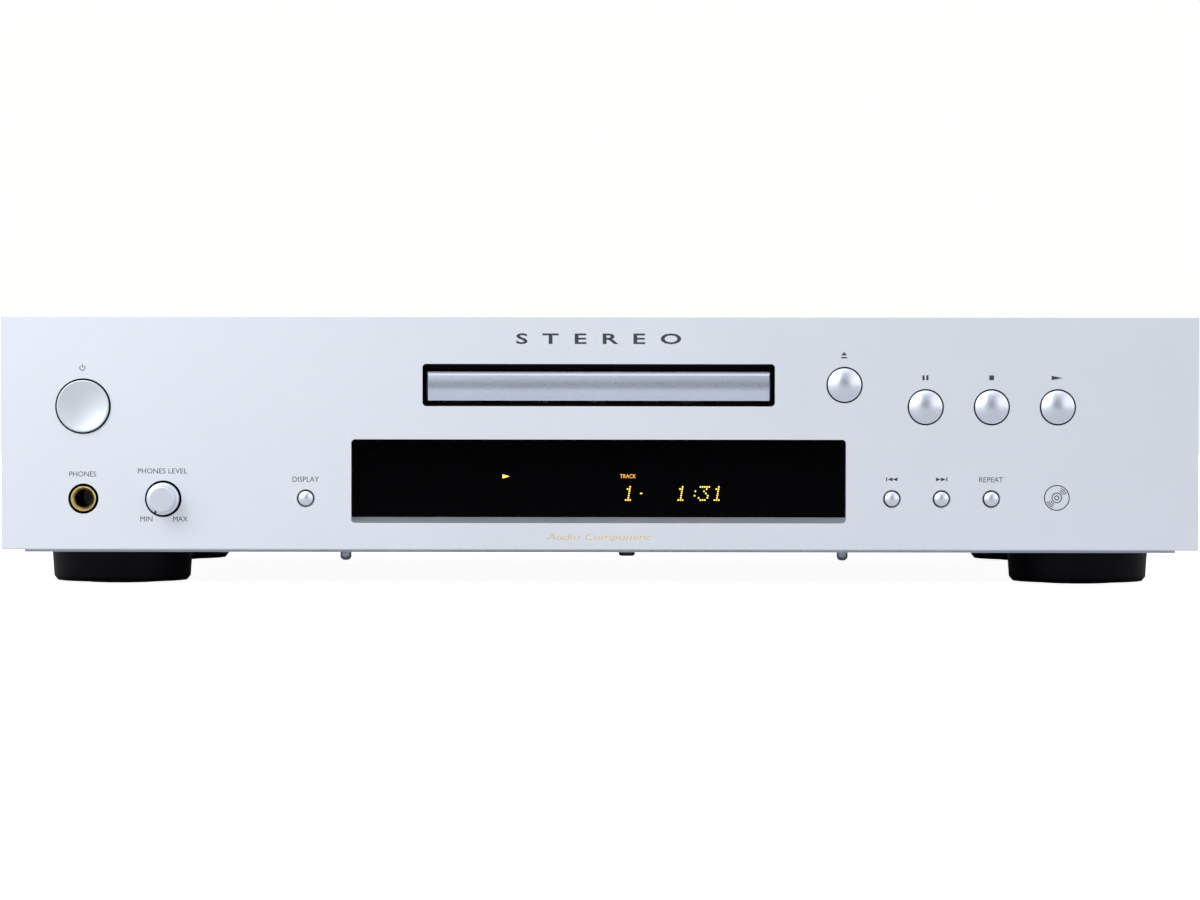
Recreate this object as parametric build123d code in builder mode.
from build123d import *
from math import acos, cos, pi, radians, sin, tan
import os

# A full-width compact disc player: a steel case with an aluminium front panel, a drawer
# loader with its pickup mechanism in the middle, the power supply on the left and the
# audio board on the right. Millimetres. X runs to the right as seen from the front, Y to
# the back and Z up. The origin is on the shelf, under the middle of the overall depth.

os.makedirs("parts", exist_ok=True)

# ---------------------------------------------------------------- driving dimensions
PANEL_WIDTH = 435.0
PANEL_HEIGHT = 85.0
PANEL_THICK = 5.0
PANEL_BOTTOM = 13.4
OVERALL_DEPTH = 306.0
KNOB_PROUD = 9.5
JACK_PROUD = 8.5

FACE_Y = -OVERALL_DEPTH / 2 + KNOB_PROUD
PANEL_BACK = FACE_Y + PANEL_THICK
REAR_Y = OVERALL_DEPTH / 2 - JACK_PROUD
PANEL_MID_Z = PANEL_BOTTOM + PANEL_HEIGHT / 2
PANEL_TOP = PANEL_BOTTOM + PANEL_HEIGHT

SHEET = 1.0
CHASSIS_HALF = 209.5
CHASSIS_BOTTOM = 12.4
FLOOR = CHASSIS_BOTTOM + SHEET
COVER_SHEET = 0.8
COVER_HALF = CHASSIS_HALF + 0.3 + COVER_SHEET
COVER_TOP = 98.1

# The drawer, the display window and the mechanism share a centre line just left of middle.
MECH_X = -0.5

# Front controls: (x, z) of each centre.
POWER_AT = (-187.8, 65.5)
PHONES_AT = (-187.7, 31.9)
LEVEL_AT = (-158.7, 31.9)
LARGE_KEYS = {"open": (88.8, 73.5), "pause": (118.3, 65.5), "stop": (142.3, 65.5), "play": (166.3, 65.5)}
SMALL_KEYS = {"display": (-106.9, 32.1), "previous": (106.1, 32.1), "next": (124.1, 32.1), "repeat": (142.2, 32.1)}
POWER_R, LARGE_R, SMALL_R = 9.45, 6.05, 2.6
POWER_GAP, LARGE_GAP, SMALL_GAP = 0.55, 0.45, 0.35
KEY_TRAVEL = 0.6
SMALL_TRAVEL = 0.5

# Drawer opening and door in the panel.
SLOT_WIDTH = 128.0
SLOT_LOW, SLOT_HIGH = 65.65, 80.2
SLOT_BEVEL = 0.85
DOOR_WIDTH = 125.0
DOOR_LOW, DOOR_HIGH = 67.7, 78.25
DOOR_THICK = 4.0
DOOR_RECESS = 0.5

# Display window opening in the panel.
WINDOW_WIDTH = 179.8
WINDOW_LOW, WINDOW_HIGH = 23.2, 53.6
WINDOW_BEVEL = 2.0
APERTURE_R = 1.4

# Planes behind the panel.
FRAME_THICK = 2.5
FRAME_BACK = PANEL_BACK + FRAME_THICK
BOARD_FRONT = -124.0
BOARD_THICK = 1.6
BOARD_BACK = BOARD_FRONT + BOARD_THICK
SWITCH_DEPTH = 3.6
PLUNGER_DEPTH = 1.4
PLUNGER_TIP = BOARD_FRONT - SWITCH_DEPTH - PLUNGER_DEPTH

# Disc mechanism, from the spindle axis.
SPINDLE_Y = -70.0
TRAY_HALF = 61.5
TRAY_FRONT = FACE_Y + DOOR_RECESS + DOOR_THICK
TRAY_BACK = 50.0
TRAY_TOP = 78.0
WELL_FLOOR = 75.0
WELL_R = 60.4
SMALL_WELL_R = 40.6
SMALL_WELL_FLOOR = 74.3
TRAY_UNDER = 72.6
SKIRT_LOW = 68.5
TRAY_SLOT_HALF = 20.0
DISC_PLANE = 76.2
TRAY_STROKE = 138.0

# Gears: stub teeth, so that small pinions need no undercut.
PRESSURE = radians(20)
ADDENDUM, DEDENDUM = 0.8, 1.1
RACK_LINE_X = 45.0
TRAY_GEAR = (33.0, -108.5)
TRAY_TEETH, TRAY_MODULE = 24, 1.0
REDUCER_TEETH, REDUCER_MODULE = 36, 0.8
PINION_TEETH = 14
PULLEY_AT = (TRAY_GEAR[0] - (REDUCER_TEETH + PINION_TEETH) * REDUCER_MODULE / 2, TRAY_GEAR[1])
MOTOR_AT = (-18.0, TRAY_GEAR[1])
PULLEY_R, MOTOR_PULLEY_R = 12.0, 3.0
BELT = 1.3
BELT_Z = (58.9, 60.2)

# Pickup drive.
LENS_RADIUS = 26.0
SLED_GEAR = (34.8, -30.0)
SLED_TEETH, SLED_MODULE = 16, 0.6
SLED_WHEEL_TEETH, SLED_WHEEL_MODULE = 40, 0.4
SLED_PINION_TEETH = 14
SLED_LINE_X = SLED_GEAR[0] - SLED_TEETH * SLED_MODULE / 2
SLED_DRIVE_ANGLE = radians(120)
SLED_CENTRES = (SLED_WHEEL_TEETH + SLED_PINION_TEETH) * SLED_WHEEL_MODULE / 2
SLED_MOTOR = (
    SLED_GEAR[0] + SLED_CENTRES * cos(SLED_DRIVE_ANGLE),
    SLED_GEAR[1] + SLED_CENTRES * sin(SLED_DRIVE_ANGLE),
)

# Lift: the frame that carries the pickup mechanism tilts about its rear pins.
PIVOT_Y, PIVOT_Z = 38.0, 59.0
LIFT_FRONT = -88.0
LIFT_ANGLE = radians(3)
CAM_Y = -92.5
CAM_THICK = 2.5
CAM_TRAVEL = 20.0
CAM_PIN_Z = 58.5
CAM_DROP = (PIVOT_Y - CAM_Y - CAM_THICK / 2) * sin(LIFT_ANGLE)
PLATE_LOW, PLATE_THICK = 64.0, 1.2
PLATE_TOP = PLATE_LOW + PLATE_THICK
ROD_X, ROD_Z, ROD_R = 20.0, 67.6, 1.5

# Feet.
FOOT_X = 177.3
FOOT_FRONT_Y, FOOT_REAR_Y = FACE_Y + 45.0, FACE_Y + 254.7
FOOT_TOP_R, FOOT_LOW_R = 26.0, 25.3
FOOT_LOW = 0.7
PAD_R, PAD_THICK = 13.5, 2.0

# Rear connections: (x, z).
LINE_JACKS = {"left": (165.0, 58.0), "right": (165.0, 41.0)}
COAX_JACK = (132.0, 41.0)
OPTICAL_AT = (106.0, 41.0)
INLET_AT = (-165.0, 42.0)
RCA_R = 4.15

BOARD_Z = 20.0
SCREW_R, SCREW_HEAD_R, SCREW_HEAD = 1.5, 3.0, 2.0
SMALL_SCREW_R = 1.1


# ---------------------------------------------------------------- shared shapes
def front_at(y, x=0.0, z=0.0):
    """An upright plane seen from the front: x right, z up, and extruding comes forward."""
    return Plane(origin=(x, y, z), x_dir=(1, 0, 0), z_dir=(0, -1, 0))


def level(z, x=0.0, y=0.0):
    """A level plane at height z."""
    return Plane(origin=(x, y, z))


def section_at(x, z=0.0):
    """An upright plane seen from the right: y across, z up, and extruding goes to +X."""
    return Plane(origin=(x, 0, z), x_dir=(0, 1, 0), z_dir=(1, 0, 0))


def gear_points(teeth, module, phase=0.0, backlash=0.12, steps=3):
    """Corners of an involute gear, with a tooth centred on the angle phase."""
    pitch_r = teeth * module / 2
    base_r = pitch_r * cos(PRESSURE)
    tip_r = pitch_r + ADDENDUM * module
    root_r = pitch_r - DEDENDUM * module
    start_r = max(base_r, root_r)
    half_pitch = pi / (2 * teeth) - backlash / (2 * pitch_r) + tan(PRESSURE) - PRESSURE
    flank = [(root_r, half_pitch)] if start_r > root_r + 0.01 else []
    for step in range(steps + 1):
        r = start_r + (tip_r - start_r) * step / steps
        roll = acos(min(1.0, base_r / r))
        flank.append((r, half_pitch - tan(roll) + roll))
    points = []
    for tooth in range(teeth):
        middle = phase + 2 * pi * tooth / teeth
        corners = [(r, middle - half) for r, half in flank]
        corners += [(r, middle + half) for r, half in reversed(flank)]
        points += [(r * cos(a), r * sin(a)) for r, a in corners]
    return points


def rack_points(line, low, high, module, meet, facing, depth, backlash=0.12):
    """Corners of a rack along Y with its pitch line at x = line, and a gap at y = meet."""
    pitch = pi * module
    lean = tan(PRESSURE)
    tip, root = line + facing * ADDENDUM * module, line - facing * DEDENDUM * module
    tip_half = pitch / 4 - backlash / 2 - ADDENDUM * module * lean
    root_half = pitch / 4 - backlash / 2 + DEDENDUM * module * lean
    points = [(root, low)]
    first = int((low - meet) / pitch) - 1
    for tooth in range(first, int((high - meet) / pitch) + 1):
        middle = meet + (tooth + 0.5) * pitch
        if middle - root_half > low and middle + root_half < high:
            points += [(root, middle - root_half), (tip, middle - tip_half)]
            points += [(tip, middle + tip_half), (root, middle + root_half)]
    return points + [(root, high), (root - facing * depth, high), (root - facing * depth, low)]


def pan_screw(head_base, length, into, head_r=SCREW_HEAD_R, head=SCREW_HEAD, r=SCREW_R):
    """A cross-recess pan-head screw. head_base is the plane under its head, facing out."""
    with BuildPart() as screw:
        with BuildSketch(head_base):
            Circle(head_r)
        extrude(amount=head)
        fillet(screw.faces().sort_by(Axis(head_base.origin, head_base.z_dir))[-1].edges(), head * 0.45)
        with BuildSketch(head_base.offset(head)):
            Rectangle(head_r * 1.05, 0.6)
            Rectangle(0.6, head_r * 1.05)
        extrude(amount=-head * 0.55, mode=Mode.SUBTRACT)
        with BuildSketch(head_base):
            Circle(r)
        extrude(amount=-length)
        chamfer(screw.faces().sort_by(Axis(head_base.origin, head_base.z_dir))[0].edges(), r * 0.4)
    into.append(screw.part)


def finish(piece, name):
    """Labels a finished builder or shape and writes it as one file."""
    shape = piece.part if isinstance(piece, BuildPart) else piece
    shape.label = name
    export_step(shape, f"parts/{name}.step")


# ---------------------------------------------------------------- case
FLOOR_BACK = REAR_Y - SHEET
FLOOR_LENGTH = FLOOR_BACK - PANEL_BACK
FLOOR_MID = (FLOOR_BACK + PANEL_BACK) / 2
FLANGE_HEIGHT = 10.0
SIDE_SCREWS = [-85.0, 105.0]
SIDE_SCREW_Z = FLOOR + FLANGE_HEIGHT / 2
PEGS = [(-93.5, -117.0), (89.2, -117.0)]
PEG_LOW = 8.7
PEG_R = 2.05
CENTRE_SCREW = (9.9, -118.0)
FEET = [(x, y) for x in (-FOOT_X, FOOT_X) for y in (FOOT_FRONT_Y, FOOT_REAR_Y)]
FOOT_SCREW_Z = 6.7
MAIN_BOARD = (78.0, 200.0, -40.0, 140.0)
POWER_BOARD = (-203.0, -80.0, -112.0, -6.0)
STANDOFFS = [
    (x, y)
    for left, right, front, back in (MAIN_BOARD, POWER_BOARD)
    for x in (left + 5, right - 5)
    for y in (front + 5, back - 14)
]
LEGS = [(x, y) for x in (MECH_X - 58.0, MECH_X + 58.0) for y in (-66.0, 50.0)]

with BuildPart() as bottom_chassis:
    with BuildSketch(level(CHASSIS_BOTTOM, y=FLOOR_MID)):
        Rectangle(2 * CHASSIS_HALF, FLOOR_LENGTH)
    extrude(amount=SHEET)
    # Side flanges that the cover screws go into.
    with BuildSketch(level(FLOOR, y=FLOOR_MID)):
        with Locations((SHEET / 2 - CHASSIS_HALF, 0), (CHASSIS_HALF - SHEET / 2, 0)):
            Rectangle(SHEET, FLOOR_LENGTH)
    extrude(amount=FLANGE_HEIGHT)
    # Long stiffening beads, pressed up out of the floor.
    with BuildSketch(level(FLOOR, y=20)):
        with Locations((-95, 0), (95, 0)):
            SlotOverall(180, 9, rotation=90)
    extrude(amount=1.2)
    with BuildSketch(level(CHASSIS_BOTTOM, y=20)):
        with Locations((-95, 0), (95, 0)):
            SlotOverall(178, 7, rotation=90)
    extrude(amount=1.2, mode=Mode.SUBTRACT)
    # Round-nosed locating bosses near the front edge.
    with BuildSketch(level(CHASSIS_BOTTOM)):
        with Locations(*PEGS):
            Circle(PEG_R)
    extrude(amount=PEG_LOW - CHASSIS_BOTTOM)
    fillet(bottom_chassis.faces().sort_by(Axis.Z)[:2].edges(), PEG_R * 0.8)
    # Screw holes for the feet, the front frame and the loader legs.
    with Locations(level(FLOOR)):
        with Locations(*FEET, CENTRE_SCREW, *LEGS):
            Hole(SCREW_R + 0.1, 3)
    # Holes for the side screws of the cover.
    with BuildSketch(section_at(-CHASSIS_HALF)):
        with Locations(*[(y, SIDE_SCREW_Z) for y in SIDE_SCREWS]):
            Circle(SCREW_R + 0.1)
    extrude(amount=2 * CHASSIS_HALF, mode=Mode.SUBTRACT)
    # Standoffs for the two inner boards.
    with BuildSketch(level(FLOOR)):
        with Locations(*STANDOFFS):
            Circle(3.2)
            Circle(SCREW_R + 0.1, mode=Mode.SUBTRACT)
    extrude(amount=BOARD_Z - FLOOR)
    # Air slots under the transformer and under the audio board.
    with BuildSketch(level(FLOOR)):
        with Locations((-150, 35), (145, 40)):
            with GridLocations(7, 0, 9, 1):
                SlotOverall(40, 3, rotation=90)
    extrude(amount=-SHEET, mode=Mode.SUBTRACT)
finish(bottom_chassis, "bottom_chassis")

REAR_FLANGE = 12.0
COVER_LIP_LOW = 89.0
REAR_SCREWS = [-180.0, 0.0, 180.0]
INLET_BODY = (27.0, 19.8)

with BuildPart() as rear_panel:
    with BuildSketch(front_at(REAR_Y, z=(FLOOR + COVER_TOP - COVER_SHEET) / 2)):
        RectangleRounded(2 * CHASSIS_HALF - 0.4, COVER_TOP - COVER_SHEET - FLOOR - 0.4, 1.8)
    extrude(amount=SHEET)
    # Foot flange that lies on the floor.
    with BuildSketch(level(FLOOR, y=FLOOR_BACK - REAR_FLANGE / 2)):
        Rectangle(2 * CHASSIS_HALF - 4 * SHEET, REAR_FLANGE)
    extrude(amount=SHEET)
    with BuildSketch(front_at(REAR_Y)):
        with Locations(*LINE_JACKS.values(), COAX_JACK):
            Circle(RCA_R + 1.0)
        with Locations(OPTICAL_AT):
            RectangleRounded(11.4, 10.4, 0.8)
        with Locations(INLET_AT):
            RectangleRounded(INLET_BODY[0] + 0.4, INLET_BODY[1] + 0.4, 1.5)
        with Locations(*[(x, (COVER_LIP_LOW + COVER_TOP) / 2 - 0.5) for x in REAR_SCREWS]):
            Circle(SCREW_R + 0.1)
        # A field of air slots above the inlet.
        with Locations((-60, 42)):
            with GridLocations(7, 22, 13, 2):
                SlotOverall(16, 3, rotation=90)
    extrude(amount=SHEET, mode=Mode.SUBTRACT)
finish(rear_panel, "rear_panel")

COVER_LOW = 13.6
COVER_FRONT = PANEL_BACK + 0.2
COVER_BACK = REAR_Y + 0.1 + COVER_SHEET

with BuildPart() as top_cover:
    with BuildSketch(front_at(COVER_FRONT)):
        with BuildLine():
            wall_x, roof_z = COVER_HALF - COVER_SHEET / 2, COVER_TOP - COVER_SHEET / 2
            FilletPolyline(
                (-wall_x, COVER_LOW), (-wall_x, roof_z), (wall_x, roof_z), (wall_x, COVER_LOW), radius=1.8
            )
        trace(line_width=COVER_SHEET)
    extrude(amount=COVER_FRONT - COVER_BACK)
    # Lip that folds down over the rear panel.
    with BuildSketch(front_at(COVER_BACK, z=(COVER_LIP_LOW + roof_z) / 2)):
        Rectangle(2 * CHASSIS_HALF - 6, roof_z - COVER_LIP_LOW)
    extrude(amount=COVER_SHEET)
    with BuildSketch(front_at(COVER_BACK, z=(COVER_LIP_LOW + COVER_TOP) / 2 - 0.5)):
        with Locations(*[(x, 0) for x in REAR_SCREWS]):
            Circle(SCREW_R + 0.1)
    extrude(amount=COVER_SHEET, mode=Mode.SUBTRACT)
    # Air slots over the transformer and the audio board.
    with BuildSketch(level(COVER_TOP)):
        with Locations((-145, 45), (145, 45)):
            with GridLocations(6.5, 42, 11, 2):
                SlotOverall(34, 2.6, rotation=90)
    extrude(amount=-2 * COVER_SHEET, mode=Mode.SUBTRACT)
    # Air slots and screw holes in both sides.
    with BuildSketch(section_at(COVER_HALF)):
        with Locations((40, 36)):
            with GridLocations(7, 0, 14, 1):
                SlotOverall(16, 2.6, rotation=90)
        with Locations(*[(y, SIDE_SCREW_Z) for y in SIDE_SCREWS]):
            Circle(SCREW_R + 0.1)
    extrude(amount=-2 * COVER_HALF, mode=Mode.SUBTRACT)
finish(top_cover, "top_cover")

cover_screws = []
for side in (-1, 1):
    for y in SIDE_SCREWS:
        base = Plane(origin=(side * COVER_HALF, y, SIDE_SCREW_Z), x_dir=(0, 1, 0), z_dir=(side, 0, 0))
        pan_screw(base, 5.0, cover_screws, head_r=3.6, head=2.2)
for x in REAR_SCREWS:
    origin = (x, COVER_BACK, (COVER_LIP_LOW + COVER_TOP) / 2 - 0.5)
    pan_screw(Plane(origin=origin, x_dir=(1, 0, 0), z_dir=(0, 1, 0)), 5.0, cover_screws)
finish(Compound(children=cover_screws), "cover_screws")

feet = []
for foot_x, foot_y in FEET:
    with BuildPart() as foot:
        with BuildSketch(front_at(foot_y, x=foot_x)):
            with BuildLine():
                Polyline(
                    (0, CHASSIS_BOTTOM), (FOOT_TOP_R, CHASSIS_BOTTOM), (FOOT_LOW_R, FOOT_LOW + 1.6),
                    (FOOT_LOW_R - 1.3, FOOT_LOW), (0, FOOT_LOW), close=True,
                )
            make_face()
        revolve(axis=Axis((foot_x, foot_y, 0), (0, 0, 1)))
        # Recess for the pad, then the deeper one for the screw head, then the screw hole.
        with Locations(level(FOOT_LOW, foot_x, foot_y)):
            for radius, depth in ((PAD_R + 0.1, PAD_THICK - FOOT_LOW), (SCREW_HEAD_R + 0.5, FOOT_SCREW_Z - FOOT_LOW),
                                  (SCREW_R + 0.1, CHASSIS_BOTTOM - FOOT_LOW)):
                Cylinder(radius, depth, align=(Align.CENTER, Align.CENTER, Align.MIN), mode=Mode.SUBTRACT)
    feet.append(foot.part)
finish(Compound(children=feet), "feet")

pads = []
for foot_x, foot_y in FEET:
    with BuildPart() as pad:
        with BuildSketch(level(0, foot_x, foot_y)):
            Circle(PAD_R)
        extrude(amount=PAD_THICK)
        chamfer(pad.faces().sort_by(Axis.Z)[0].edges(), 0.3)
    pads.append(pad.part)
finish(Compound(children=pads), "foot_pads")

# ---------------------------------------------------------------- front panel
with BuildPart() as window_cut:
    with BuildSketch(front_at(FACE_Y, MECH_X, (WINDOW_LOW + WINDOW_HIGH) / 2)):
        RectangleRounded(WINDOW_WIDTH, WINDOW_HIGH - WINDOW_LOW, APERTURE_R)
    extrude(amount=-PANEL_THICK)
    # The lower edge slopes up and back from the face to the window.
    with BuildSketch(section_at(MECH_X - WINDOW_WIDTH / 2)):
        with BuildLine():
            Polyline(
                (FACE_Y, WINDOW_LOW), (PANEL_BACK, WINDOW_LOW + WINDOW_BEVEL),
                (PANEL_BACK, WINDOW_LOW), close=True,
            )
        make_face()
    extrude(amount=WINDOW_WIDTH, mode=Mode.SUBTRACT)

with BuildPart() as slot_cut:
    with BuildSketch(front_at(FACE_Y, MECH_X, (SLOT_LOW + SLOT_HIGH + SLOT_BEVEL) / 2)):
        RectangleRounded(SLOT_WIDTH, SLOT_HIGH + SLOT_BEVEL - SLOT_LOW, APERTURE_R)
    extrude(amount=-PANEL_THICK)
    # The upper edge slopes down and back from the face.
    with BuildSketch(section_at(MECH_X - SLOT_WIDTH / 2)):
        with BuildLine():
            Polyline(
                (FACE_Y, SLOT_HIGH + SLOT_BEVEL), (FACE_Y + 1.6, SLOT_HIGH),
                (PANEL_BACK, SLOT_HIGH), (PANEL_BACK, SLOT_HIGH + SLOT_BEVEL), close=True,
            )
        make_face()
    extrude(amount=SLOT_WIDTH, mode=Mode.SUBTRACT)

SLEEVE_R, PHONES_R = 4.55, 3.2
PHONES_HOLE_R = 5.4
KNOB_R, KNOB_GAP = 5.85, 0.7
STUDS = [(-200.0, 21.0), (-128.0, 21.0), (115.0, 21.0), (196.0, 21.0)]
STUDS += [(-200.0, 91.0), (-128.0, 91.0), (72.0, 91.0), (196.0, 91.0)]
STUD_R, STUD_LENGTH = 2.4, FRAME_THICK

with BuildPart() as front_panel:
    with BuildSketch(front_at(PANEL_BACK, z=PANEL_MID_Z)):
        RectangleRounded(PANEL_WIDTH, PANEL_HEIGHT, 0.5)
    extrude(amount=PANEL_THICK)
    chamfer(front_panel.faces().sort_by(Axis.Y)[0].edges(), 0.35)
    add(window_cut.part, mode=Mode.SUBTRACT)
    add(slot_cut.part, mode=Mode.SUBTRACT)
    with BuildSketch(front_at(FACE_Y)):
        with Locations(POWER_AT):
            Circle(POWER_R + POWER_GAP)
        with Locations(*LARGE_KEYS.values()):
            Circle(LARGE_R + LARGE_GAP)
        with Locations(*SMALL_KEYS.values()):
            Circle(SMALL_R + SMALL_GAP)
        with Locations(PHONES_AT):
            Circle(PHONES_HOLE_R)
        with Locations(LEVEL_AT):
            Circle(KNOB_R + KNOB_GAP)
    extrude(amount=-PANEL_THICK, mode=Mode.SUBTRACT)
    # The four small keys sit in countersunk holes, the other round holes have a fine edge.
    rims = front_panel.faces().sort_by(Axis.Y)[0].edges().filter_by(GeomType.CIRCLE)
    chamfer(rims.filter_by(lambda e: abs(e.radius - SMALL_R - SMALL_GAP) < 0.01), 0.4)
    rims = front_panel.faces().sort_by(Axis.Y)[0].edges().filter_by(GeomType.CIRCLE)
    chamfer(rims.filter_by(lambda e: e.radius > SMALL_R + SMALL_GAP + 0.5), 0.15)
    # Threaded studs on the back hold the front frame.
    with BuildSketch(front_at(PANEL_BACK)):
        with Locations(*STUDS):
            Circle(STUD_R)
    extrude(amount=-STUD_LENGTH)
    with BuildSketch(front_at(PANEL_BACK + STUD_LENGTH)):
        with Locations(*STUDS):
            Circle(SMALL_SCREW_R + 0.1)
    extrude(amount=STUD_LENGTH + 2, mode=Mode.SUBTRACT)
finish(front_panel, "front_panel")

# ---------------------------------------------------------------- front frame
FRAME_HALF = 207.5
FRAME_LOW, FRAME_HIGH = 14.6, 96.8
FRAME_WALL_BACK = -127.0
POCKET_WIDTH, POCKET_LOW, POCKET_HIGH = 186.0, 21.0, 57.0
DOOR_GAP = 0.9
BOARD_POSTS = [(-110.0, 56.0), (-110.0, 22.0), (98.0, 22.0), (178.0, 22.0), (178.0, 80.0), (99.0, 56.0)]
LEFT_POSTS = [(-202.0, 80.0), (-142.0, 80.0), (-142.0, 22.0), (-202.0, 45.0)]

with BuildPart() as front_frame:
    frame_mid = (FRAME_LOW + FRAME_HIGH) / 2
    with BuildSketch(front_at(FRAME_BACK, z=frame_mid)):
        Rectangle(2 * FRAME_HALF, FRAME_HIGH - FRAME_LOW)
    extrude(amount=FRAME_THICK)
    # Perimeter wall.
    with BuildSketch(front_at(FRAME_WALL_BACK, z=frame_mid)):
        Rectangle(2 * FRAME_HALF, FRAME_HIGH - FRAME_LOW)
        Rectangle(2 * FRAME_HALF - 4, FRAME_HIGH - FRAME_LOW - 4, mode=Mode.SUBTRACT)
    extrude(amount=FRAME_WALL_BACK - FRAME_BACK)
    # Collar around the drawer opening, and the ledge that the window rests on.
    with BuildSketch(front_at(FRAME_BACK, MECH_X, (DOOR_LOW + DOOR_HIGH) / 2)):
        Rectangle(DOOR_WIDTH + 2 * DOOR_GAP + 3, DOOR_HIGH - DOOR_LOW + 2 * DOOR_GAP + 3)
    extrude(amount=-1.6)
    with BuildSketch(front_at(FRAME_BACK, MECH_X, (POCKET_LOW + POCKET_HIGH) / 2)):
        Rectangle(POCKET_WIDTH + 4, POCKET_HIGH - POCKET_LOW + 4)
    extrude(amount=-1.2)
    with BuildSketch(front_at(PANEL_BACK, MECH_X, (POCKET_LOW + POCKET_HIGH) / 2)):
        Rectangle(POCKET_WIDTH, POCKET_HIGH - POCKET_LOW)
    extrude(amount=-FRAME_THICK, mode=Mode.SUBTRACT)
    with BuildSketch(front_at(PANEL_BACK)):
        with Locations((MECH_X, (POCKET_LOW + POCKET_HIGH) / 2)):
            Rectangle(POCKET_WIDTH - 8, POCKET_HIGH - POCKET_LOW - 8)
        with Locations((MECH_X, (DOOR_LOW + DOOR_HIGH) / 2)):
            Rectangle(DOOR_WIDTH + 2 * DOOR_GAP, DOOR_HIGH - DOOR_LOW + 2 * DOOR_GAP)
        with Locations(POWER_AT):
            Circle(POWER_R + 0.3)
        with Locations(*LARGE_KEYS.values()):
            Circle(LARGE_R + 0.3)
        with Locations(*SMALL_KEYS.values()):
            Circle(SMALL_R + 0.3)
        with Locations(PHONES_AT):
            Circle(SLEEVE_R + 0.15)
        with Locations(LEVEL_AT):
            Circle(3.6)
        with Locations(*STUDS):
            Circle(STUD_R + 0.2)
    extrude(amount=-6, mode=Mode.SUBTRACT)
    # Posts that carry the circuit boards.
    with BuildSketch(front_at(FRAME_BACK)):
        with Locations(*BOARD_POSTS, *LEFT_POSTS):
            Circle(3.0)
    extrude(amount=FRAME_BACK - BOARD_FRONT)
    with BuildSketch(front_at(BOARD_FRONT)):
        with Locations(*BOARD_POSTS, *LEFT_POSTS):
            Circle(SMALL_SCREW_R + 0.1)
    extrude(amount=8, mode=Mode.SUBTRACT)
    # Boss for the screw that comes up through the chassis floor.
    with BuildSketch(level(FRAME_LOW, CENTRE_SCREW[0], (FRAME_BACK + CENTRE_SCREW[1]) / 2 + 2)):
        Rectangle(9, CENTRE_SCREW[1] - FRAME_BACK + 4)
    extrude(amount=3)
    with Locations(level(FRAME_LOW, *CENTRE_SCREW)):
        Cylinder(SCREW_R + 0.1, 8, mode=Mode.SUBTRACT)
finish(front_frame, "front_frame")

with BuildPart() as display_window:
    with BuildSketch(front_at(FRAME_BACK - 0.02, MECH_X, (POCKET_LOW + POCKET_HIGH) / 2)):
        RectangleRounded(POCKET_WIDTH - 0.4, POCKET_HIGH - POCKET_LOW - 0.4, 1.0)
    extrude(amount=FRAME_THICK - 0.04)
finish(display_window, "display_window")

# ---------------------------------------------------------------- keys
FLANGE_BACK = FRAME_BACK + 1.2


DISH_DEPTH = 1.2


def key(x, z, radius, travel, crown, dished=False):
    """A key cap with its retaining flange and the stem that reaches its switch."""
    stem_tip = PLUNGER_TIP - travel
    with BuildPart() as cap:
        with BuildSketch(section_at(x, z)):
            with BuildLine():
                if dished:
                    edge = Polyline((FACE_Y - crown, 0), (FACE_Y - crown, radius - 0.3), (FACE_Y - crown + 0.3, radius))
                else:
                    edge = TangentArc((FACE_Y - crown, 0), (FACE_Y - 0.15, radius), tangent=(0, 1))
                Polyline(
                    edge @ 1, (FRAME_BACK, radius), (FRAME_BACK, radius + 1.4),
                    (FLANGE_BACK, radius + 1.4), (FLANGE_BACK, min(2.2, radius)), (stem_tip, min(2.2, radius)),
                    (stem_tip, 0), (FACE_Y - crown, 0),
                )
            make_face()
        revolve(axis=Axis((x, 0, z), (0, 1, 0)))
        if dished:
            hollow_r = (radius - 0.55) ** 2 / (2 * DISH_DEPTH) + DISH_DEPTH / 2
            with Locations((x, FACE_Y - crown + DISH_DEPTH - hollow_r, z)):
                Sphere(hollow_r, mode=Mode.SUBTRACT)
    return cap


finish(key(*POWER_AT, POWER_R, KEY_TRAVEL, 1.5, dished=True), "power_button")
for name, (x, z) in LARGE_KEYS.items():
    finish(key(x, z, LARGE_R, KEY_TRAVEL, 1.9), f"{name}_button")
for name, (x, z) in SMALL_KEYS.items():
    finish(key(x, z, SMALL_R, SMALL_TRAVEL, 1.0), f"{name}_button")

switches = []
for x, z in [POWER_AT, *LARGE_KEYS.values(), *SMALL_KEYS.values()]:
    with BuildPart() as switch:
        with BuildSketch(front_at(BOARD_FRONT, x, z)):
            Rectangle(6, 6)
        extrude(amount=SWITCH_DEPTH)
        chamfer(switch.edges().filter_by(Axis.Y), 0.4)
        with BuildSketch(front_at(BOARD_FRONT - SWITCH_DEPTH, x, z)):
            Circle(1.7)
        extrude(amount=PLUNGER_DEPTH)
    switches.append(switch.part)
finish(Compound(children=switches), "tact_switches")

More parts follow.
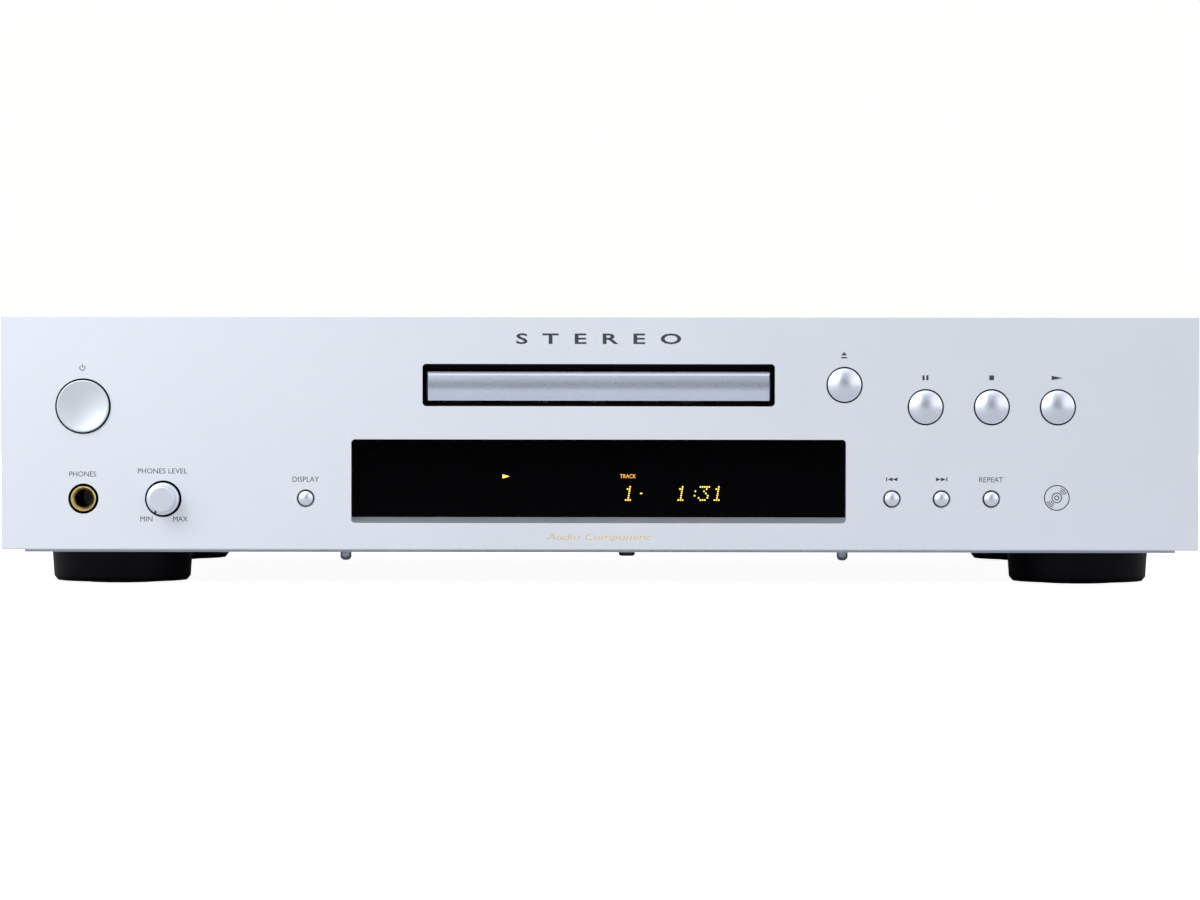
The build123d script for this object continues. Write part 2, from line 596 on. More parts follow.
with BuildPart() as key_board:
    with BuildSketch(front_at(BOARD_BACK)):
        with BuildLine():
            Polyline((-115, 18), (182, 18), (182, 84), (80, 84), (80, 61), (-115, 61), close=True)
        make_face()
        with Locations(*BOARD_POSTS):
            Circle(1.5, mode=Mode.SUBTRACT)
    extrude(amount=BOARD_THICK)
with BuildPart() as phones_board:
    with BuildSketch(front_at(BOARD_BACK, z=51)):
        with Locations((-172, 0)):
            Rectangle(66, 66)
        with Locations((PHONES_AT[0], PHONES_AT[1] - 51)):
            Rectangle(15, 18, mode=Mode.SUBTRACT)
        with Locations(*[(x, z - 51) for x, z in LEFT_POSTS]):
            Circle(1.5, mode=Mode.SUBTRACT)
    extrude(amount=BOARD_THICK)
finish(Compound(children=[key_board.part, phones_board.part]), "front_boards")

TUBE_LOW, TUBE_HIGH, TUBE_HALF = 25.5, 52.5, 78.0
with BuildPart() as display_tube:
    tube_mid = (TUBE_LOW + TUBE_HIGH) / 2
    with BuildSketch(front_at(-127.0, MECH_X, tube_mid)):
        RectangleRounded(2 * TUBE_HALF, TUBE_HIGH - TUBE_LOW, 1.0)
    extrude(amount=1.6)
    with BuildSketch(front_at(-128.6, MECH_X, tube_mid)):
        RectangleRounded(2 * TUBE_HALF - 4, TUBE_HIGH - TUBE_LOW - 4, 1.0)
    extrude(amount=3.2)
    # Pins down to the board.
    with BuildSketch(front_at(-127.0, MECH_X, TUBE_LOW + 1.5)):
        with GridLocations(6, 0, 25, 1):
            Rectangle(0.6, 0.5)
    extrude(amount=-3.0)
finish(display_tube, "display_tube")

# ---------------------------------------------------------------- headphone socket and level
SLEEVE_FRONT, SLEEVE_BACK = FACE_Y - 0.3, -131.8
JACK_BACK = -108.0

with BuildPart() as phones_jack_sleeve:
    with BuildSketch(section_at(*PHONES_AT)):
        with BuildLine():
            Polyline(
                (SLEEVE_FRONT + 0.9, PHONES_R), (SLEEVE_FRONT, PHONES_R + 0.8), (SLEEVE_FRONT, SLEEVE_R - 0.25),
                (SLEEVE_FRONT + 0.25, SLEEVE_R), (SLEEVE_BACK, SLEEVE_R), (SLEEVE_BACK, PHONES_R), close=True,
            )
        make_face()
    revolve(axis=Axis((PHONES_AT[0], 0, PHONES_AT[1]), (0, 1, 0)))
finish(phones_jack_sleeve, "phones_jack_sleeve")

with BuildPart() as phones_jack:
    with BuildSketch(front_at(JACK_BACK, *PHONES_AT)):
        RectangleRounded(13, 15.6, 1)
    extrude(amount=JACK_BACK - FRAME_BACK)
    fillet(phones_jack.faces().sort_by(Axis.Y)[-1].edges(), 0.6)
    with BuildSketch(front_at(FRAME_BACK, *PHONES_AT)):
        Circle(SLEEVE_R)
    extrude(amount=FRAME_BACK - SLEEVE_BACK, mode=Mode.SUBTRACT)
    with BuildSketch(front_at(FRAME_BACK, *PHONES_AT)):
        Circle(PHONES_R)
    extrude(amount=FRAME_BACK - JACK_BACK, mode=Mode.SUBTRACT)
    # Solder tags under the body.
    with BuildSketch(level(PHONES_AT[1] - 7.8, PHONES_AT[0], -116.0)):
        with GridLocations(8, 6, 2, 2):
            Rectangle(1.2, 0.6)
    extrude(amount=-3.5)
finish(phones_jack, "phones_jack")

KNOB_FRONT = FACE_Y - KNOB_PROUD
KNOB_BACK = FACE_Y + 2.0
KNOB_FACE_R, KNOB_NOSE_R = 4.2, 4.65
KNOB_SKIRT = 2.2
POT_FRONT, POT_BACK = -133.5, BOARD_FRONT
SHAFT_R = 3.0

with BuildPart() as level_knob:
    with BuildSketch(section_at(*LEVEL_AT)):
        with BuildLine():
            crown = TangentArc((KNOB_FRONT, KNOB_FACE_R), (KNOB_FRONT + 0.6, KNOB_NOSE_R), tangent=(0.1, 1))
            shoulder = TangentArc((FACE_Y - KNOB_SKIRT - 0.9, 5.1), (FACE_Y - KNOB_SKIRT, KNOB_R), tangent=(0.1, 1))
            Polyline(crown @ 1, shoulder @ 0)
            Polyline(
                shoulder @ 1, (KNOB_BACK, KNOB_R), (KNOB_BACK, 4.2), (FACE_Y - 0.5, 4.2),
                (FACE_Y - 0.5, SHAFT_R + 0.02), (KNOB_FRONT + 2.5, SHAFT_R + 0.02), (KNOB_FRONT + 2.5, 0),
                (KNOB_FRONT, 0), crown @ 0,
            )
        make_face()
    revolve(axis=Axis((LEVEL_AT[0], 0, LEVEL_AT[1]), (0, 1, 0)))
    # Pointer groove down the side and through the skirt, at the minimum mark.
    pointer = radians(208)
    with BuildSketch(front_at(KNOB_FRONT, *LEVEL_AT)):
        with Locations((5.45 * sin(pointer), 5.45 * cos(pointer))):
            Rectangle(0.8, 1.8, rotation=-208)
    extrude(amount=-KNOB_PROUD, mode=Mode.SUBTRACT)
finish(level_knob, "level_knob")

with BuildPart() as pot_shaft:
    with BuildSketch(front_at(POT_FRONT + 4, *LEVEL_AT)):
        Circle(SHAFT_R)
    extrude(amount=POT_FRONT + 4 - (KNOB_FRONT + 2.6))
    chamfer(pot_shaft.faces().sort_by(Axis.Y)[0].edges(), 0.4)
finish(pot_shaft, "pot_shaft")

with BuildPart() as level_pot:
    with BuildSketch(front_at(POT_BACK, *LEVEL_AT)):
        Circle(8.5)
    extrude(amount=POT_BACK - POT_FRONT)
    fillet(level_pot.edges().filter_by(GeomType.CIRCLE), 0.5)
    with BuildSketch(front_at(POT_FRONT, *LEVEL_AT)):
        Circle(3.5)
    extrude(amount=POT_FRONT - PANEL_BACK)
    with BuildSketch(front_at(PANEL_BACK, *LEVEL_AT)):
        Circle(SHAFT_R + 0.05)
    extrude(amount=PANEL_BACK - POT_FRONT - 4.5, mode=Mode.SUBTRACT)
finish(level_pot, "level_pot")

# ---------------------------------------------------------------- drawer
RACK_DEPTH = 2.0
RACK_FRONT, RACK_BACK = -119.0, 41.0
DOOR_CHAMFER = 1.35
DOOR_SWEEP = 0.8

with BuildPart() as disc_tray:
    tray_mid = (TRAY_FRONT + TRAY_BACK) / 2
    with BuildSketch(level(SKIRT_LOW, MECH_X, tray_mid)):
        Rectangle(2 * TRAY_HALF, TRAY_BACK - TRAY_FRONT)
    extrude(amount=TRAY_TOP - SKIRT_LOW)
    # Hollow underneath, open at the back, with a skirt on the other three sides.
    with BuildSketch(level(SKIRT_LOW, MECH_X, tray_mid + 1)):
        Rectangle(2 * TRAY_HALF - 4, TRAY_BACK - TRAY_FRONT - 2)
    extrude(amount=TRAY_UNDER - SKIRT_LOW, mode=Mode.SUBTRACT)
    # Wells for the two disc sizes, with a dip for a finger at the front.
    with BuildSketch(level(WELL_FLOOR, MECH_X, SPINDLE_Y)):
        Circle(WELL_R)
        with Locations((0, 6 - WELL_R)):
            Circle(13)
    extrude(amount=TRAY_TOP - WELL_FLOOR, mode=Mode.SUBTRACT)
    with BuildSketch(level(SMALL_WELL_FLOOR, MECH_X, SPINDLE_Y)):
        Circle(SMALL_WELL_R)
    extrude(amount=WELL_FLOOR - SMALL_WELL_FLOOR, mode=Mode.SUBTRACT)
    # Slot that lets the raised turntable and the pickup pass, open at the back.
    with BuildSketch(level(TRAY_UNDER, MECH_X, SPINDLE_Y)):
        Circle(TRAY_SLOT_HALF)
        with Locations((0, (TRAY_BACK - SPINDLE_Y) / 2)):
            Rectangle(2 * TRAY_SLOT_HALF, TRAY_BACK - SPINDLE_Y)
    extrude(amount=TRAY_TOP - TRAY_UNDER, mode=Mode.SUBTRACT)
    with BuildSketch(level(SKIRT_LOW)):
        with BuildLine():
            rack = rack_points(RACK_LINE_X, RACK_FRONT, RACK_BACK, TRAY_MODULE, TRAY_GEAR[1], -1, RACK_DEPTH)
            Polyline(*rack, close=True)
        make_face()
    extrude(amount=TRAY_UNDER - SKIRT_LOW)
finish(disc_tray, "disc_tray")

with BuildPart() as tray_door:
    with BuildSketch(section_at(MECH_X - DOOR_WIDTH / 2)):
        with BuildLine():
            door_front = FACE_Y + DOOR_RECESS
            barrel = ThreePointArc(
                (door_front + DOOR_SWEEP, DOOR_LOW),
                (door_front, (DOOR_LOW + DOOR_HIGH) / 2),
                (door_front + DOOR_SWEEP, DOOR_HIGH - DOOR_CHAMFER),
            )
            Polyline(
                barrel @ 1, (door_front + DOOR_SWEEP + 0.85, DOOR_HIGH), (TRAY_FRONT, DOOR_HIGH), (TRAY_FRONT, DOOR_LOW),
                barrel @ 0,
            )
        make_face()
    extrude(amount=DOOR_WIDTH)
    ends = tray_door.faces().sort_by(Axis.X)
    chamfer((ends[0].edges() + ends[-1].edges()).filter_by(GeomType.CIRCLE), 0.5)
finish(tray_door, "tray_door")

# ---------------------------------------------------------------- loader base
BASE_LOW, BASE_TOP = 56.0, 58.0
BASE_FRONT, BASE_BACK = -120.5, 58.0
WALL_IN, WALL_OUT = TRAY_HALF + 0.5, TRAY_HALF + 3.0
WALL_TOP = 82.0
LIFT_HALF = 44.0
LIFT_BACK = 44.0
OPENING_FRONT, OPENING_BACK = -92.8, 47.0
PIVOT_R = 2.0
BRIDGE_SCREWS = [(MECH_X + side * (WALL_OUT + 2.0), y) for side in (-1, 1) for y in (-86.0, -54.0)]
WHEEL_LOW = 61.5
TEETH_LOW, TEETH_HIGH = 68.9, 72.2
HOOKS = [MECH_X - 32.0, MECH_X - 2.0]

with BuildPart() as loader_base:
    base_mid = (BASE_FRONT + BASE_BACK) / 2
    base_length = BASE_BACK - BASE_FRONT
    with BuildSketch(level(BASE_LOW, MECH_X, base_mid)):
        Rectangle(2 * WALL_OUT, base_length)
    extrude(amount=BASE_TOP - BASE_LOW)
    with BuildSketch(level(BASE_LOW, MECH_X, base_mid)):
        with GridLocations(WALL_IN + WALL_OUT, 0, 2, 1):
            Rectangle(WALL_OUT - WALL_IN, base_length)
    extrude(amount=WALL_TOP - BASE_LOW)
    # Ledges that the drawer runs on and lips that hold it down.
    with BuildSketch(level(SKIRT_LOW - 0.2, MECH_X, base_mid)):
        with GridLocations(2 * WALL_IN - 3, 0, 2, 1):
            Rectangle(3, base_length)
    extrude(amount=-2)
    with BuildSketch(level(TRAY_TOP + 0.3, MECH_X, base_mid)):
        with GridLocations(2 * WALL_IN - 1.2, 70, 2, 3):
            Rectangle(1.2, 10)
    extrude(amount=1.8)
    # Bosses for the bridge screws.
    with BuildSketch(level(WALL_TOP)):
        with Locations(*BRIDGE_SCREWS):
            Circle(3.0)
    extrude(amount=-14)
    with BuildSketch(level(WALL_TOP)):
        with Locations(*BRIDGE_SCREWS):
            Circle(SMALL_SCREW_R + 0.1)
    extrude(amount=-9, mode=Mode.SUBTRACT)
    # Opening for the lift, and the hole over the motor.
    with BuildSketch(level(BASE_LOW, MECH_X, (OPENING_FRONT + OPENING_BACK) / 2)):
        Rectangle(2 * LIFT_HALF + 3, OPENING_BACK - OPENING_FRONT)
    extrude(amount=BASE_TOP - BASE_LOW, mode=Mode.SUBTRACT)
    with BuildSketch(level(BASE_LOW, *MOTOR_AT)):
        Circle(3.3)
    extrude(amount=BASE_TOP - BASE_LOW, mode=Mode.SUBTRACT)
    # Axles of the two loading gears.
    with BuildSketch(level(BASE_TOP, *TRAY_GEAR)):
        Circle(2.0)
    extrude(amount=TEETH_HIGH - BASE_TOP)
    with BuildSketch(level(BASE_TOP, *PULLEY_AT)):
        Circle(1.5)
    extrude(amount=6.6)
    # Bearing blocks for the lift pivots.
    with BuildSketch(level(BASE_LOW, MECH_X, PIVOT_Y)):
        with GridLocations(2 * LIFT_HALF + 7, 0, 2, 1):
            Rectangle(4, 9)
    extrude(amount=PIVOT_Z + 4.5 - BASE_LOW)
    with BuildSketch(section_at(MECH_X - LIFT_HALF - 6)):
        with Locations((PIVOT_Y, PIVOT_Z)):
            Circle(PIVOT_R + 0.05)
    extrude(amount=2 * LIFT_HALF + 12, mode=Mode.SUBTRACT)
    # Hooks over the cam slider.
    with BuildSketch(level(BASE_TOP)):
        with Locations(*[(x, -96.4) for x in HOOKS]):
            Rectangle(4, 1.2)
    extrude(amount=3.2)
    with BuildSketch(level(BASE_TOP + 1.9)):
        with Locations(*[(x, -95.4) for x in HOOKS]):
            Rectangle(4, 3.2)
    extrude(amount=1.3)
    # Legs down to the chassis.
    with BuildSketch(level(FLOOR)):
        with Locations(*LEGS):
            Circle(4.5)
    extrude(amount=BASE_LOW - FLOOR)
    with BuildSketch(level(FLOOR)):
        with Locations(*LEGS):
            Circle(SCREW_R + 0.1)
    extrude(amount=10, mode=Mode.SUBTRACT)
finish(loader_base, "loader_base")

BRIDGE_THICK = 1.5
BRIDGE_HALF = WALL_OUT + 5.0
CLAMP_HOLE_R = 12.5
BRIDGE_TOP = WALL_TOP + BRIDGE_THICK

with BuildPart() as clamper_bridge:
    with BuildSketch(level(WALL_TOP, MECH_X, SPINDLE_Y)):
        RectangleRounded(2 * BRIDGE_HALF, 44, 3)
        Circle(CLAMP_HOLE_R, mode=Mode.SUBTRACT)
    extrude(amount=BRIDGE_THICK)
    # Stiffening ribs along both edges.
    with BuildSketch(level(BRIDGE_TOP, MECH_X, SPINDLE_Y)):
        with GridLocations(0, 42, 1, 2):
            Rectangle(2 * BRIDGE_HALF - 14, 1.5)
    extrude(amount=3.5)
    with BuildSketch(level(WALL_TOP)):
        with Locations(*BRIDGE_SCREWS):
            Circle(SMALL_SCREW_R + 0.3)
    extrude(amount=BRIDGE_THICK, mode=Mode.SUBTRACT)
finish(clamper_bridge, "clamper_bridge")

PUCK_LOW = TRAY_TOP + 0.9
with BuildPart() as clamper_puck:
    with BuildSketch(front_at(SPINDLE_Y, MECH_X)):
        with BuildLine():
            Polyline(
                (0, 81.0), (8, 81.0), (8, PUCK_LOW), (16, PUCK_LOW), (16, WALL_TOP - 0.4),
                (CLAMP_HOLE_R - 0.8, WALL_TOP - 0.4), (CLAMP_HOLE_R - 0.8, BRIDGE_TOP + 0.3),
                (CLAMP_HOLE_R + 2, BRIDGE_TOP + 0.3), (CLAMP_HOLE_R + 2, BRIDGE_TOP + 1.8), (0, BRIDGE_TOP + 1.8),
                close=True,
            )
        make_face()
    revolve(axis=Axis((MECH_X, SPINDLE_Y, 0), (0, 0, 1)))
finish(clamper_puck, "clamper_puck")

# ---------------------------------------------------------------- loading drive
MOTOR_LOW = 38.0

with BuildPart() as loading_motor:
    with BuildSketch(level(MOTOR_LOW, *MOTOR_AT)):
        Circle(10)
    extrude(amount=BASE_LOW - MOTOR_LOW)
    fillet(loading_motor.edges(), 0.8)
    with BuildSketch(level(BASE_LOW, *MOTOR_AT)):
        Circle(3)
    extrude(amount=2)
    with BuildSketch(level(BASE_LOW + 2, *MOTOR_AT)):
        Circle(1.05)
    extrude(amount=-10, mode=Mode.SUBTRACT)
    # End bush and the two solder tags.
    with BuildSketch(level(MOTOR_LOW, *MOTOR_AT)):
        Circle(2.5)
        with GridLocations(11, 0, 2, 1):
            Rectangle(0.5, 2)
    extrude(amount=-2)
finish(loading_motor, "loading_motor")

GROOVE_LOW, GROOVE_HIGH = BELT_Z[0] - 0.1, BELT_Z[1] + 0.1
PULLEY_LOW, PULLEY_HIGH = 58.3, 61.0

with BuildPart() as motor_pulley:
    with BuildSketch(front_at(MOTOR_AT[1], MOTOR_AT[0])):
        with BuildLine():
            Polyline(
                (0, BASE_LOW - 7), (1, BASE_LOW - 7), (1, PULLEY_LOW), (MOTOR_PULLEY_R + 1.2, PULLEY_LOW),
                (MOTOR_PULLEY_R + 1.2, GROOVE_LOW - 0.1), (MOTOR_PULLEY_R, GROOVE_LOW), (MOTOR_PULLEY_R, GROOVE_HIGH),
                (MOTOR_PULLEY_R + 1.2, GROOVE_HIGH + 0.1), (MOTOR_PULLEY_R + 1.2, PULLEY_HIGH), (0, PULLEY_HIGH),
                close=True,
            )
        make_face()
    revolve(axis=Axis((*MOTOR_AT, 0), (0, 0, 1)))
finish(motor_pulley, "motor_pulley")

with BuildPart() as drive_belt:
    with BuildSketch(level(BELT_Z[0])):
        with Locations(PULLEY_AT):
            Circle(PULLEY_R + 0.05 + BELT)
        with Locations(MOTOR_AT):
            Circle(MOTOR_PULLEY_R + 0.05 + BELT)
        make_hull()
    extrude(amount=BELT_Z[1] - BELT_Z[0])
    with BuildSketch(level(BELT_Z[0])):
        with Locations(PULLEY_AT):
            Circle(PULLEY_R + 0.05)
        with Locations(MOTOR_AT):
            Circle(MOTOR_PULLEY_R + 0.05)
        make_hull()
    extrude(amount=BELT_Z[1] - BELT_Z[0], mode=Mode.SUBTRACT)
finish(drive_belt, "drive_belt")

with BuildPart() as pulley_gear:
    with BuildSketch(level(PULLEY_LOW, *PULLEY_AT)):
        Circle(PULLEY_R + 1)
    extrude(amount=PULLEY_HIGH - PULLEY_LOW)
    with BuildSketch(level(GROOVE_LOW, *PULLEY_AT)):
        Circle(PULLEY_R + 1)
        Circle(PULLEY_R, mode=Mode.SUBTRACT)
    extrude(amount=GROOVE_HIGH - GROOVE_LOW, mode=Mode.SUBTRACT)
    # Pinion with a gap facing the reducing wheel.
    with BuildSketch(level(PULLEY_HIGH, *PULLEY_AT)):
        with BuildLine():
            Polyline(*gear_points(PINION_TEETH, REDUCER_MODULE, pi / PINION_TEETH), close=True)
        make_face()
    extrude(amount=3.2)
    with BuildSketch(level(PULLEY_LOW, *PULLEY_AT)):
        Circle(1.55)
    extrude(amount=8, mode=Mode.SUBTRACT)
finish(pulley_gear, "pulley_gear")

with BuildPart() as tray_gear:
    with BuildSketch(level(PULLEY_LOW, *TRAY_GEAR)):
        Circle(4)
    extrude(amount=WHEEL_LOW - PULLEY_LOW)
    with BuildSketch(level(WHEEL_LOW, *TRAY_GEAR)):
        with BuildLine():
            Polyline(*gear_points(REDUCER_TEETH, REDUCER_MODULE, pi), close=True)
        make_face()
    extrude(amount=2.5)
    with BuildSketch(level(WHEEL_LOW, *TRAY_GEAR)):
        Circle(6)
    extrude(amount=TEETH_LOW - WHEEL_LOW)
    with BuildSketch(level(TEETH_LOW, *TRAY_GEAR)):
        with BuildLine():
            Polyline(*gear_points(TRAY_TEETH, TRAY_MODULE), close=True)
        make_face()
    extrude(amount=TEETH_HIGH - TEETH_LOW)
    with BuildSketch(level(PULLEY_LOW, *TRAY_GEAR)):
        Circle(2.05)
    extrude(amount=TEETH_HIGH - PULLEY_LOW, mode=Mode.SUBTRACT)
finish(tray_gear, "tray_gear")

# ---------------------------------------------------------------- lift
LIFT_LOW, LIFT_HIGH = 56.6, 61.2
LIFT_RAIL = 5.5
CAM_PIN_X = -8.0
CAM_PIN_R = 1.5
BUSH_X, BUSH_YS, BUSH_R = LIFT_HALF - LIFT_RAIL / 2, (-78.0, 34.0), 2.7

with BuildPart() as cam_slider:
    with BuildSketch(front_at(CAM_Y + CAM_THICK, CAM_PIN_X - CAM_TRAVEL / 2, CAM_PIN_Z - CAM_DROP / 2)):
        Rectangle(CAM_TRAVEL + 12, 15)
        cam_length = (CAM_TRAVEL**2 + CAM_DROP**2) ** 0.5
        cam_slope = acos(CAM_TRAVEL / cam_length) * 180 / pi
        SlotCenterToCenter(cam_length, 2 * CAM_PIN_R + 0.3, rotation=cam_slope, mode=Mode.SUBTRACT)
    extrude(amount=CAM_THICK)
    # Flange that runs on the loader base under the two hooks, and stays clear of the belt.
    with BuildSketch(level(BASE_TOP + 0.2, CAM_PIN_X - CAM_TRAVEL / 2, CAM_Y - 1.1)):
        Rectangle(CAM_TRAVEL + 28, 2.2)
    extrude(amount=1.5)
finish(cam_slider, "cam_slider")

with BuildPart() as lift_frame:
    with BuildSketch(level(LIFT_LOW, MECH_X, (LIFT_FRONT + LIFT_BACK) / 2)):
        Rectangle(2 * LIFT_HALF, LIFT_BACK - LIFT_FRONT)
        Rectangle(2 * (LIFT_HALF - LIFT_RAIL), LIFT_BACK - LIFT_FRONT - 2 * LIFT_RAIL, mode=Mode.SUBTRACT)
    extrude(amount=LIFT_HIGH - LIFT_LOW)
    with BuildSketch(section_at(MECH_X - LIFT_HALF - 5)):
        with Locations((PIVOT_Y, PIVOT_Z)):
            Circle(PIVOT_R)
    extrude(amount=5)
    with BuildSketch(section_at(MECH_X + LIFT_HALF)):
        with Locations((PIVOT_Y, PIVOT_Z)):
            Circle(PIVOT_R)
    extrude(amount=5)
    with BuildSketch(front_at(LIFT_FRONT, CAM_PIN_X, CAM_PIN_Z)):
        Circle(CAM_PIN_R)
    extrude(amount=4.2)
finish(lift_frame, "lift_frame")

BUSHES = [(MECH_X + side * BUSH_X, y) for side in (-1, 1) for y in BUSH_YS]
bushes = []
for x, y in BUSHES:
    with BuildPart() as bush:
        with BuildSketch(front_at(y, x)):
            with BuildLine():
                Polyline(
                    (0, LIFT_HIGH), (BUSH_R, LIFT_HIGH), (BUSH_R, PLATE_LOW), (BUSH_R - 1, PLATE_LOW),
                    (BUSH_R - 1, PLATE_TOP), (BUSH_R, PLATE_TOP), (BUSH_R - 0.4, PLATE_TOP + 1.4), (0, PLATE_TOP + 1.4),
                    close=True,
                )
            make_face()
        revolve(axis=Axis((x, y, 0), (0, 0, 1)))
    bushes.append(bush.part)
finish(Compound(children=bushes), "damper_bushes")

# ---------------------------------------------------------------- traverse
LENS_AT = (MECH_X, SPINDLE_Y + LENS_RADIUS)
SLED_FRONT, SLED_BACK = LENS_AT[1] - 8.0, LENS_AT[1] + 14.0
SLED_TRAVEL = 32.0
ROD_FRONT, ROD_BACK = -58.0, 10.0
SLED_HALF = 15.5
SLED_TOP = 71.0
WHEEL_Z = (65.7, 66.8)
SLED_TEETH_Z = (67.2, 69.6)

with BuildPart() as traverse_plate:
    with BuildSketch(level(PLATE_LOW, MECH_X, -22)):
        RectangleRounded(2 * LIFT_HALF - 1, 130, 4)
        # Opening that the pickup travels along.
        with Locations((0, (SLED_FRONT + SLED_BACK + SLED_TRAVEL) / 2 + 22)):
            Rectangle(2 * SLED_HALF + 4, SLED_BACK + SLED_TRAVEL - SLED_FRONT + 6, mode=Mode.SUBTRACT)
    extrude(amount=PLATE_THICK)
    with BuildSketch(level(PLATE_LOW)):
        with Locations(*BUSHES):
            Circle(BUSH_R - 1)
        with Locations((MECH_X, SPINDLE_Y)):
            Circle(6)
        with Locations(SLED_MOTOR):
            Circle(2.3)
    extrude(amount=PLATE_THICK, mode=Mode.SUBTRACT)
    # Blocks that hold the rod ends, and the axle of the sled gear.
    with BuildSketch(level(PLATE_TOP, MECH_X, (ROD_FRONT + ROD_BACK) / 2)):
        with GridLocations(2 * ROD_X, ROD_BACK - ROD_FRONT - 3, 2, 2):
            Rectangle(6, 3)
    extrude(amount=ROD_Z + 2.2 - PLATE_TOP)
    with BuildSketch(front_at(ROD_BACK, MECH_X, ROD_Z)):
        with GridLocations(2 * ROD_X, 0, 2, 1):
            Circle(ROD_R)
    extrude(amount=ROD_BACK - ROD_FRONT, mode=Mode.SUBTRACT)
    with BuildSketch(level(PLATE_TOP, *SLED_GEAR)):
        Circle(1.2)
    extrude(amount=SLED_TEETH_Z[1] - PLATE_TOP + 0.4)
finish(traverse_plate, "traverse_plate")

with BuildPart() as guide_rods:
    with BuildSketch(front_at(ROD_BACK, MECH_X, ROD_Z)):
        with GridLocations(2 * ROD_X, 0, 2, 1):
            Circle(ROD_R)
    extrude(amount=ROD_BACK - ROD_FRONT)
finish(guide_rods, "guide_rods")

with BuildPart() as spindle_motor:
    with BuildSketch(level(PLATE_LOW, MECH_X, SPINDLE_Y)):
        Circle(12)
    extrude(amount=-7.4)
    fillet(spindle_motor.faces().sort_by(Axis.Z)[0].edges(), 0.8)
    with BuildSketch(level(PLATE_LOW, MECH_X, SPINDLE_Y)):
        Circle(5.5)
    extrude(amount=3)
    with BuildSketch(level(PLATE_LOW + 3, MECH_X, SPINDLE_Y)):
        Circle(1.05)
    extrude(amount=-8, mode=Mode.SUBTRACT)
finish(spindle_motor, "spindle_motor")

TABLE_R = 16.0
with BuildPart() as turntable:
    with BuildSketch(front_at(SPINDLE_Y, MECH_X)):
        with BuildLine():
            Polyline(
                (0, PLATE_LOW - 4.5), (1, PLATE_LOW - 4.5), (1, 68.0), (4, 68.0), (4, DISC_PLANE - 3), (TABLE_R, DISC_PLANE - 3),
                (TABLE_R, DISC_PLANE), (8.5, DISC_PLANE), (8.5, DISC_PLANE - 0.6), (7.4, DISC_PLANE - 0.6),
                (7.2, DISC_PLANE + 1.4), (4.5, 79.4), (0, 79.4), close=True,
            )
        make_face()
    revolve(axis=Axis((MECH_X, SPINDLE_Y, 0), (0, 0, 1)))
finish(turntable, "turntable")

RACK_LOW, RACK_HIGH = SLED_TEETH_Z[0] + 0.2, SLED_TEETH_Z[1] - 0.2
ARM_DEPTH = 2.4

with BuildPart() as pickup_sled:
    sled_mid = (SLED_FRONT + SLED_BACK) / 2
    sled_length = SLED_BACK - SLED_FRONT
    # Optical body that hangs in the plate opening.
    with BuildSketch(level(60.5, MECH_X, sled_mid)):
        RectangleRounded(2 * SLED_HALF, sled_length, 2)
    extrude(amount=SLED_TOP - 60.5)
    # Bearing blocks on the two rods.
    with BuildSketch(level(PLATE_TOP + 0.4, MECH_X, sled_mid)):
        Rectangle(2 * ROD_X + 7, sled_length - 4)
    extrude(amount=ROD_Z + 2.4 - PLATE_TOP - 0.4)
    with BuildSketch(front_at(SLED_BACK, MECH_X, ROD_Z)):
        with GridLocations(2 * ROD_X, 0, 2, 1):
            Circle(ROD_R + 0.05)
    extrude(amount=sled_length, mode=Mode.SUBTRACT)
    # Rack along the right side, joined to the body by a short web.
    rack_front = SLED_GEAR[1] - SLED_TRAVEL - 5
    rack_back = SLED_GEAR[1] + 5
    with BuildSketch(level(RACK_LOW)):
        with BuildLine():
            rack = rack_points(SLED_LINE_X, rack_front, rack_back, SLED_MODULE, SLED_GEAR[1], 1, ARM_DEPTH)
            Polyline(*rack, close=True)
        make_face()
    extrude(amount=RACK_HIGH - RACK_LOW)
    web_left = MECH_X + ROD_X + 3.4
    web_right = SLED_LINE_X - DEDENDUM * SLED_MODULE - ARM_DEPTH + 0.2
    with BuildSketch(level(RACK_LOW, (web_left + web_right) / 2, sled_mid)):
        Rectangle(web_right - web_left, sled_length - 4)
    extrude(amount=RACK_HIGH - RACK_LOW)
    # Well for the lens.
    with BuildSketch(level(SLED_TOP, *LENS_AT)):
        Circle(4.8)
    extrude(amount=-2.6, mode=Mode.SUBTRACT)
finish(pickup_sled, "pickup_sled")

with BuildPart() as objective_lens:
    with BuildSketch(level(69.2, *LENS_AT)):
        Circle(4.2)
    extrude(amount=5.2)
    fillet(objective_lens.faces().sort_by(Axis.Z)[-1].edges(), 0.9)
finish(objective_lens, "objective_lens")

with BuildPart() as sled_motor:
    with BuildSketch(level(PLATE_LOW, *SLED_MOTOR)):
        Circle(5.5)
    extrude(amount=-10)
    fillet(sled_motor.edges(), 0.5)
    with BuildSketch(level(PLATE_LOW, *SLED_MOTOR)):
        Circle(2)
    extrude(amount=PLATE_THICK)
    with BuildSketch(level(PLATE_TOP, *SLED_MOTOR)):
        Circle(0.8)
    extrude(amount=-7, mode=Mode.SUBTRACT)
finish(sled_motor, "sled_motor")

